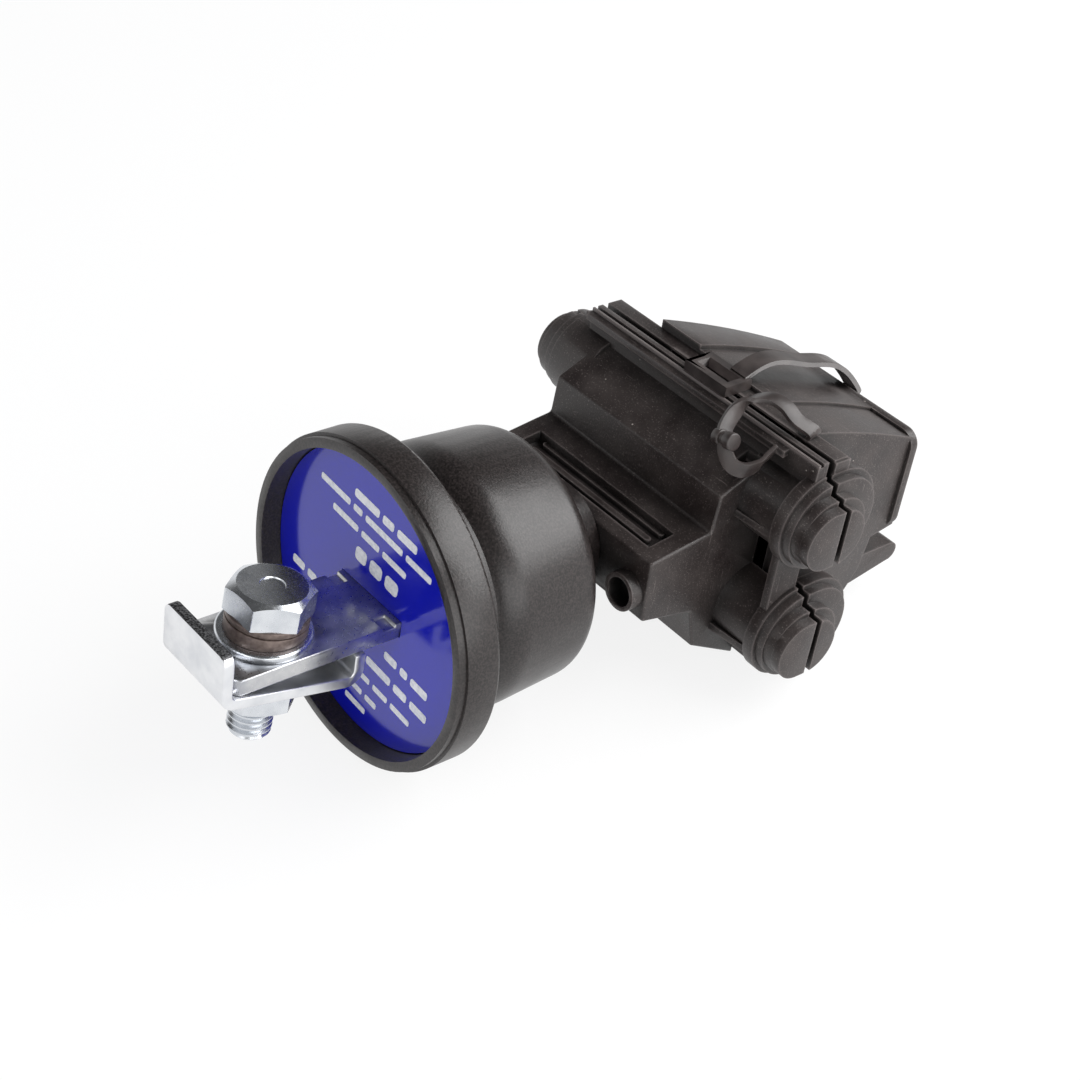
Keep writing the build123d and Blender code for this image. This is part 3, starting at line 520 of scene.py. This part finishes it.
def only(piece):
    """Leaves this piece alone selected and active."""
    bpy.ops.object.select_all(action="DESELECT")
    piece.select_set(True)
    bpy.context.view_layer.objects.active = piece


def settle(piece):
    """Puts the object's place into its mesh."""
    only(piece)
    bpy.ops.object.transform_apply(location=True, rotation=True, scale=True)


def apply_modifiers(piece):
    only(piece)
    for modifier in list(piece.modifiers):
        bpy.ops.object.modifier_apply(modifier=modifier.name)


def ease_edges(piece, width, segments, turning):
    """Applies the piece's modifiers, then rounds edges that turn by more than these degrees."""
    ease = piece.modifiers.new("ease", "BEVEL")
    ease.width = width
    ease.segments = segments
    ease.limit_method = "ANGLE"
    ease.angle_limit = math.radians(turning)
    apply_modifiers(piece)


def round_corners(piece, width, segments, is_corner):
    """Rounds only the edges whose two ends pass the test."""
    weights = piece.data.attributes.new("bevel_weight_edge", "FLOAT", "EDGE")
    for edge in piece.data.edges:
        first, second = (piece.data.vertices[i].co for i in edge.vertices)
        weights.data[edge.index].value = 1.0 if is_corner(first, second) else 0.0
    corners = piece.modifiers.new("corners", "BEVEL")
    corners.width = width
    corners.segments = segments
    corners.limit_method = "WEIGHT"
    apply_modifiers(piece)


def cut_off(place, way):
    """In edit mode, cuts away what lies beyond a plane and closes the cut."""
    bpy.ops.mesh.select_all(action="SELECT")
    bpy.ops.mesh.bisect(plane_co=place, plane_no=way, use_fill=True, clear_outer=True)


def join(pieces, name):
    only(pieces[0])
    for piece in pieces:
        piece.select_set(True)
    bpy.ops.object.join()
    joined = bpy.context.object
    joined.name = name
    return joined


def shade(piece, degrees):
    """Smooth shading, up to edges that turn by this many degrees."""
    only(piece)
    bpy.ops.object.shade_smooth_by_angle(angle=math.radians(degrees))


def finish_with(piece, material):
    """Gives the piece its finish, and puts it on the part's one body."""
    piece.data.materials.clear()
    piece.data.materials.append(material)
    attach(piece, ROOT)


def eased_copy(node, name, material, ease_mm, turning):
    """A copy of a CAD node with its edges eased, as a moulded or pressed edge is."""
    source = frame["nodes"][node]
    piece = source.copy()
    piece.data = source.data.copy()
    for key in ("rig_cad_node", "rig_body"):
        if key in piece:
            del piece[key]
    piece.name = name
    piece.parent = None
    bpy.context.scene.collection.objects.link(piece)
    only(piece)
    bpy.ops.object.mode_set(mode="EDIT")
    bpy.ops.mesh.select_all(action="SELECT")
    bpy.ops.mesh.remove_doubles(threshold=WELD)
    bpy.ops.mesh.dissolve_limited(angle_limit=FLAT)
    bpy.ops.object.mode_set(mode="OBJECT")
    if ease_mm:
        ease_edges(piece, ease_mm * MM, 2, turning)
    shade(piece, 35)
    finish_with(piece, material)
    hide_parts(node)


# ---------------------------------------------------------------- earth terminal
def bolt_head():
    """Hexagon head: a turned blank with a chamfered rim and a bare dimple, then its six flats."""
    top = HEAD_SEAT + HEAD_HEIGHT
    dimple_floor = top - DIMPLE_DEPTH
    bpy.ops.object.select_all(action="DESELECT")
    bpy.ops.mesh.primitive_circle_add(
        vertices=96, radius=BLANK_RADIUS, fill_type="NGON", location=(0, 0, HEAD_SEAT)
    )
    piece = bpy.context.object
    settle(piece)
    bpy.ops.object.mode_set(mode="EDIT")
    bpy.ops.mesh.select_all(action="SELECT")
    radius, level = BLANK_RADIUS, HEAD_SEAT
    for next_radius, next_level in (
        (BLANK_RADIUS, top - (BLANK_RADIUS - HEAD_FACE) * math.tan(HEAD_SLOPE)),
        (HEAD_FACE, top), (DIMPLE + DIMPLE_WALL, top), (DIMPLE, dimple_floor),
        (DIMPLE - DIMPLE_FLOOR_INSET, dimple_floor),
    ):
        bpy.ops.mesh.extrude_region_move(
            TRANSFORM_OT_translate={"value": (0, 0, next_level - level)}
        )
        bpy.ops.transform.resize(
            value=(next_radius / radius, next_radius / radius, 1), center_override=(0, 0, 0)
        )
        radius, level = next_radius, next_level
    bpy.ops.mesh.select_all(action="SELECT")
    bpy.ops.mesh.normals_make_consistent(inside=False)
    for turn in range(6):
        angle = HEX_TURN + math.radians(30 + 60 * turn)
        normal = (math.cos(angle), math.sin(angle), 0)
        cut_off([ACROSS_FLATS / 2 * c for c in normal], normal)
    bpy.ops.object.mode_set(mode="OBJECT")
    # Only the six upright corners are rounded
    round_corners(
        piece, HEAD_CORNER, 3,
        lambda first, second: abs(first.z - second.z) > 3 * MM
        and (first.xy - second.xy).length < 0.05 * MM,
    )
    return piece


def threaded_rod(top, foot):
    """Rod about Z with a rolled thread, drawn in at its foot by a chamfer."""
    bpy.ops.object.select_all(action="DESELECT")
    bpy.ops.mesh.primitive_cylinder_add(
        vertices=64, radius=THREAD_MINOR + CORE_OVERLAP, depth=top - foot,
        location=(0, 0, (top + foot) / 2),
    )
    core = bpy.context.object
    settle(core)
    bpy.ops.object.mode_set(mode="EDIT")
    bpy.ops.mesh.select_all(action="SELECT")
    bpy.ops.mesh.bisect(plane_co=(0, 0, foot + ROD_CHAMFER), plane_no=(0, 0, 1))
    bpy.ops.object.mode_set(mode="OBJECT")

    # One section of the ridge, two turns below the foot, wound up past the top and cut to length
    bpy.ops.object.select_all(action="DESELECT")
    bpy.ops.mesh.primitive_plane_add(size=PITCH)
    ridge = bpy.context.object
    for vertex, (radius, rise) in zip(ridge.data.vertices, RIDGE):
        vertex.co = (radius, 0, foot + (rise - 2) * PITCH)
    only(ridge)
    bpy.ops.object.mode_set(mode="EDIT")
    bpy.ops.mesh.select_all(action="SELECT")
    bpy.ops.mesh.delete(type="ONLY_FACE")
    bpy.ops.object.mode_set(mode="OBJECT")
    helix = ridge.modifiers.new("helix", "SCREW")
    helix.screw_offset = PITCH
    helix.iterations = int((top - foot) / PITCH) + 4
    helix.steps = THREAD_STEPS
    helix.render_steps = THREAD_STEPS
    apply_modifiers(ridge)
    bpy.ops.object.mode_set(mode="EDIT")
    cut_off((0, 0, top), (0, 0, 1))
    cut_off((0, 0, foot), (0, 0, -1))
    bpy.ops.mesh.select_all(action="SELECT")
    bpy.ops.mesh.normals_make_consistent(inside=False)
    bpy.ops.object.mode_set(mode="OBJECT")

    rod = join([core, ridge], "rod")
    for vertex in rod.data.vertices:
        reach = vertex.co.xy.length
        limit = THREAD_MINOR - ROD_DRAW_IN + (vertex.co.z - foot)
        if vertex.co.z < foot + 1.4 * ROD_CHAMFER and reach > limit:
            vertex.co.x *= limit / reach
            vertex.co.y *= limit / reach
    return rod


def earth_bolt():
    """M10 bolt: hexagon head with a bare dimple, and a rolled thread down to its end."""
    rod = threaded_rod(HEAD_SEAT + ROD_IN_HEAD, HEAD_SEAT - BOLT_LENGTH)
    bolt = join([bolt_head(), rod], "hex_bolt")
    bolt.data.transform(BOLT_LEAN)
    shade(bolt, 25)
    finish_with(bolt, ZINC_BOLT)
    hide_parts("earth_bolt")


def shear_the_tab(plate):
    """Gives the tab's upper edge the look the shears leave."""
    plate.data.materials.append(SHEARED)
    top = max(vertex.co.z for vertex in plate.data.vertices)
    for face in plate.data.polygons:
        if face.normal.z > 0.8 and face.center.z > top - SHEARED_DEPTH:
            face.material_index = 1


# ---------------------------------------------------------------- closing tie
def smooth_route(points, steps=8):
    """Points on one smooth curve through these points."""
    route = []
    for i in range(len(points) - 1):
        before = points[max(i - 1, 0)]
        start, end = points[i], points[i + 1]
        after = points[min(i + 2, len(points) - 1)]
        for step in range(steps):
            t = step / steps
            route.append(0.5 * (
                2 * start + (end - before) * t
                + (2 * before - 5 * start + 4 * end - after) * t ** 2
                + (3 * start - before - 3 * end + after) * t ** 3
            ))
    return route + [points[-1]]


def from_tie_start(step):
    """A place on the tie, in millimetres, from its step from the tie's start."""
    return Vector([start + along for start, along in zip(TIE_START, step)])


def ribbon(points, width, thick, across):
    """Flat moulded ribbon: a strip laid along a route, with its wall and soft edges."""
    route = smooth_route([from_tie_start(point) for point in points])
    last = len(route) - 1
    bpy.ops.object.select_all(action="DESELECT")
    bpy.ops.mesh.primitive_grid_add(x_subdivisions=2, y_subdivisions=last, size=1)
    strip = bpy.context.object
    for vertex in strip.data.vertices:
        row = round((vertex.co.y + 0.5) * last)
        ahead = (route[min(row + 1, last)] - route[max(row - 1, 0)]).normalized()
        beside = (Vector(across) - Vector(across).dot(ahead) * ahead).normalized()
        vertex.co = (route[row] + beside * vertex.co.x * width) * MM
    wall = strip.modifiers.new("wall", "SOLIDIFY")
    wall.thickness = thick * MM
    wall.offset = 0
    wall.use_even_offset = True
    ease_edges(strip, RIBBON_EASE * thick * MM, 2, 60)
    return strip


def knob_bar(along, radius, length):
    """Short round bar of the knob, with eased rims."""
    bpy.ops.object.select_all(action="DESELECT")
    bpy.ops.mesh.primitive_cylinder_add(vertices=40, radius=radius * MM, depth=length * MM)
    bar = bpy.context.object
    ease_edges(bar, BAR_EASE * MM, 3, 50)
    turn = KNOB_AXIS.to_track_quat("Z", "Y").to_matrix().to_4x4()
    middle = from_tie_start(KNOB) + along * KNOB_AXIS
    bar.data.transform(Matrix.Translation(middle * MM) @ turn)
    return bar


def closing_tie():
    """Tie of the cover: an arched ribbon, a T-bar at its end, and its curl to the front rim."""
    arch = ribbon(ARCH_ROUTE, *ARCH_SIZE, across=(0, 1, 0.1))
    curl = ribbon(CURL_ROUTE, *CURL_SIZE, across=(0.25, 0.5, 1.0))
    tie = join([arch, curl, *[knob_bar(*bar) for bar in KNOB_BARS]], "closing_tie")
    shade(tie, 35)
    finish_with(tie, STRAP_POLYMER)
    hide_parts("closing_strap_right")


# ---------------------------------------------------------------- label print
def label_print():
    """Plain white dashes in rows, where a printed label has its lines. They say nothing."""
    dashes = []
    for reach, level, tall, lengths in LABEL_ROWS:
        for length in lengths:
            middle = (
                (reach + length / 2) * MM, LABEL_FACE - PRINT_THICKNESS / 2, level * MM
            )
            bpy.ops.object.select_all(action="DESELECT")
            bpy.ops.mesh.primitive_cube_add(size=1.0, location=middle)
            dash = bpy.context.object
            dash.scale = (length * MM, PRINT_THICKNESS, tall * MM)
            settle(dash)
            round_corners(
                dash, DASH_ROUNDING * tall * MM, 4,
                lambda first, second: abs(first.y - second.y) > PRINT_THICKNESS / 2,
            )
            dashes.append(dash)
            reach += length + DASH_GAP
    dashes = join(dashes, "label_print")
    dashes.data.transform(PRINT_TURN)
    finish_with(dashes, INK)


# ---------------------------------------------------------------- camera, stage and light
def set_camera():
    """Camera that looks down on the label and the bolt from the front right."""
    data = bpy.data.cameras.new("camera")
    data.sensor_width = SENSOR
    data.lens = LENS
    data.shift_x, data.shift_y = LENS_SHIFT
    data.clip_start = 0.01
    ahead = CAMERA_AHEAD.normalized()
    right = (CAMERA_RIGHT - CAMERA_RIGHT.dot(ahead) * ahead).normalized()
    up = right.cross(ahead)
    turn = Matrix((right, up, -ahead)).transposed().to_4x4()
    camera = bpy.data.objects.new("camera", data)
    camera.matrix_world = Matrix.Translation(CAMERA_PLACE) @ turn
    bpy.context.scene.collection.objects.link(camera)
    bpy.context.scene.camera = camera


def seen_rays(tree):
    """1 for camera, glossy and transmission rays, which see the background, and 0 for the rest."""
    path = add_node(tree, "ShaderNodeLightPath")
    seen = path["Is Camera Ray"]
    for other in ("Is Glossy Ray", "Is Transmission Ray"):
        seen = add_node(tree, "ShaderNodeMath", {0: seen, 1: path[other]}, operation="MAXIMUM")[0]
    return seen


def set_stage():
    """Pale floor through the two places the object rests on, tilted as it lies."""
    low_front = Vector((0, FLANGE_FACE + FLANGE_REST, -FLANGE_RADIUS))
    low_rear = Vector((0, REAR_SHELL_FRONT, SHELL_FOOT))
    slope = math.atan2(low_rear.z - low_front.z, low_rear.y - low_front.y)
    bpy.ops.object.select_all(action="DESELECT")
    bpy.ops.mesh.primitive_plane_add(size=FLOOR_SIZE, location=low_front, rotation=(slope, 0, 0))
    floor = bpy.context.object
    floor.name = "floor"
    # Paper: flat white, with a share of its own white where it is seen, under the object's shadow
    material, tree, shader = start_material("paper_white", "#F6F6F6", 0.9)
    share = add_node(
        tree, "ShaderNodeMath", {0: seen_rays(tree), 1: FLOOR_OWN_WHITE}, operation="MULTIPLY"
    )[0]
    glow = add_node(tree, "ShaderNodeEmission", {"Color": WHITE})[0]
    mix = add_node(tree, "ShaderNodeMixShader", {0: share, 1: shader.outputs[0], 2: glow})[0]
    plug(tree, tree.nodes["Material Output"], {"Surface": mix})
    floor.data.materials.append(material)


def set_world():
    """White round the horizon, as in a light tent, under a dim ceiling; white to the camera."""
    world = bpy.data.worlds.new("studio")
    bpy.context.scene.world = world
    world.use_nodes = True
    tree = world.node_tree
    direction = add_node(tree, "ShaderNodeTexCoord")["Generated"]
    height = add_node(tree, "ShaderNodeSeparateXYZ", {0: direction})["Z"]
    fade = add_node(tree, "ShaderNodeMapRange", {
        "Value": height, "From Min": WALL_TOP, "From Max": CEILING,
        "To Min": 1.0, "To Max": CEILING_LIGHT,
    }, interpolation_type="SMOOTHSTEP")["Result"]
    to_camera = add_node(tree, "ShaderNodeLightPath")["Is Camera Ray"]
    brightest = add_node(tree, "ShaderNodeMath", {0: fade, 1: to_camera}, operation="MAXIMUM")[0]
    white = add_node(
        tree, "ShaderNodeBackground", {"Color": WHITE, "Strength": brightest}
    )[0]
    soft = tree.nodes["Background"]
    plug(tree, soft, {"Color": TENT_COLOUR, "Strength": TENT_LIGHT})
    mix = add_node(
        tree, "ShaderNodeMixShader", {0: seen_rays(tree), 1: soft.outputs[0], 2: white}
    )[0]
    plug(tree, tree.nodes["World Output"], {"Surface": mix})


def add_softbox(name, toward, distance, width, height, radiance):
    """Softbox that looks at the object's middle from this direction."""
    away = Vector(toward).normalized()
    data = bpy.data.lights.new(name, "AREA")
    data.shape = "RECTANGLE"
    data.size = width
    data.size_y = height
    data.energy = radiance * math.pi * width * height
    lamp = bpy.data.objects.new(name, data)
    lamp.location = OBJECT_MIDDLE + distance * away
    lamp.rotation_euler = (-away).to_track_quat("-Z", "Y").to_euler()
    bpy.context.scene.collection.objects.link(lamp)


# ---------------------------------------------------------------- make the object
set_camera()
set_stage()
set_world()
for softbox in SOFTBOXES:
    add_softbox(*softbox)

for name, material in INSIDE_FINISHES.items():
    hidden = frame["nodes"][name]
    hidden.data.materials.clear()
    hidden.data.materials.append(material)

for eased_piece in EASED_PIECES:
    eased_copy(*eased_piece)
shear_the_tab(bpy.data.objects["pressed_clamp"])
closing_tie()
earth_bolt()
label_print()

bpy.context.scene.view_settings.view_transform = "Standard"
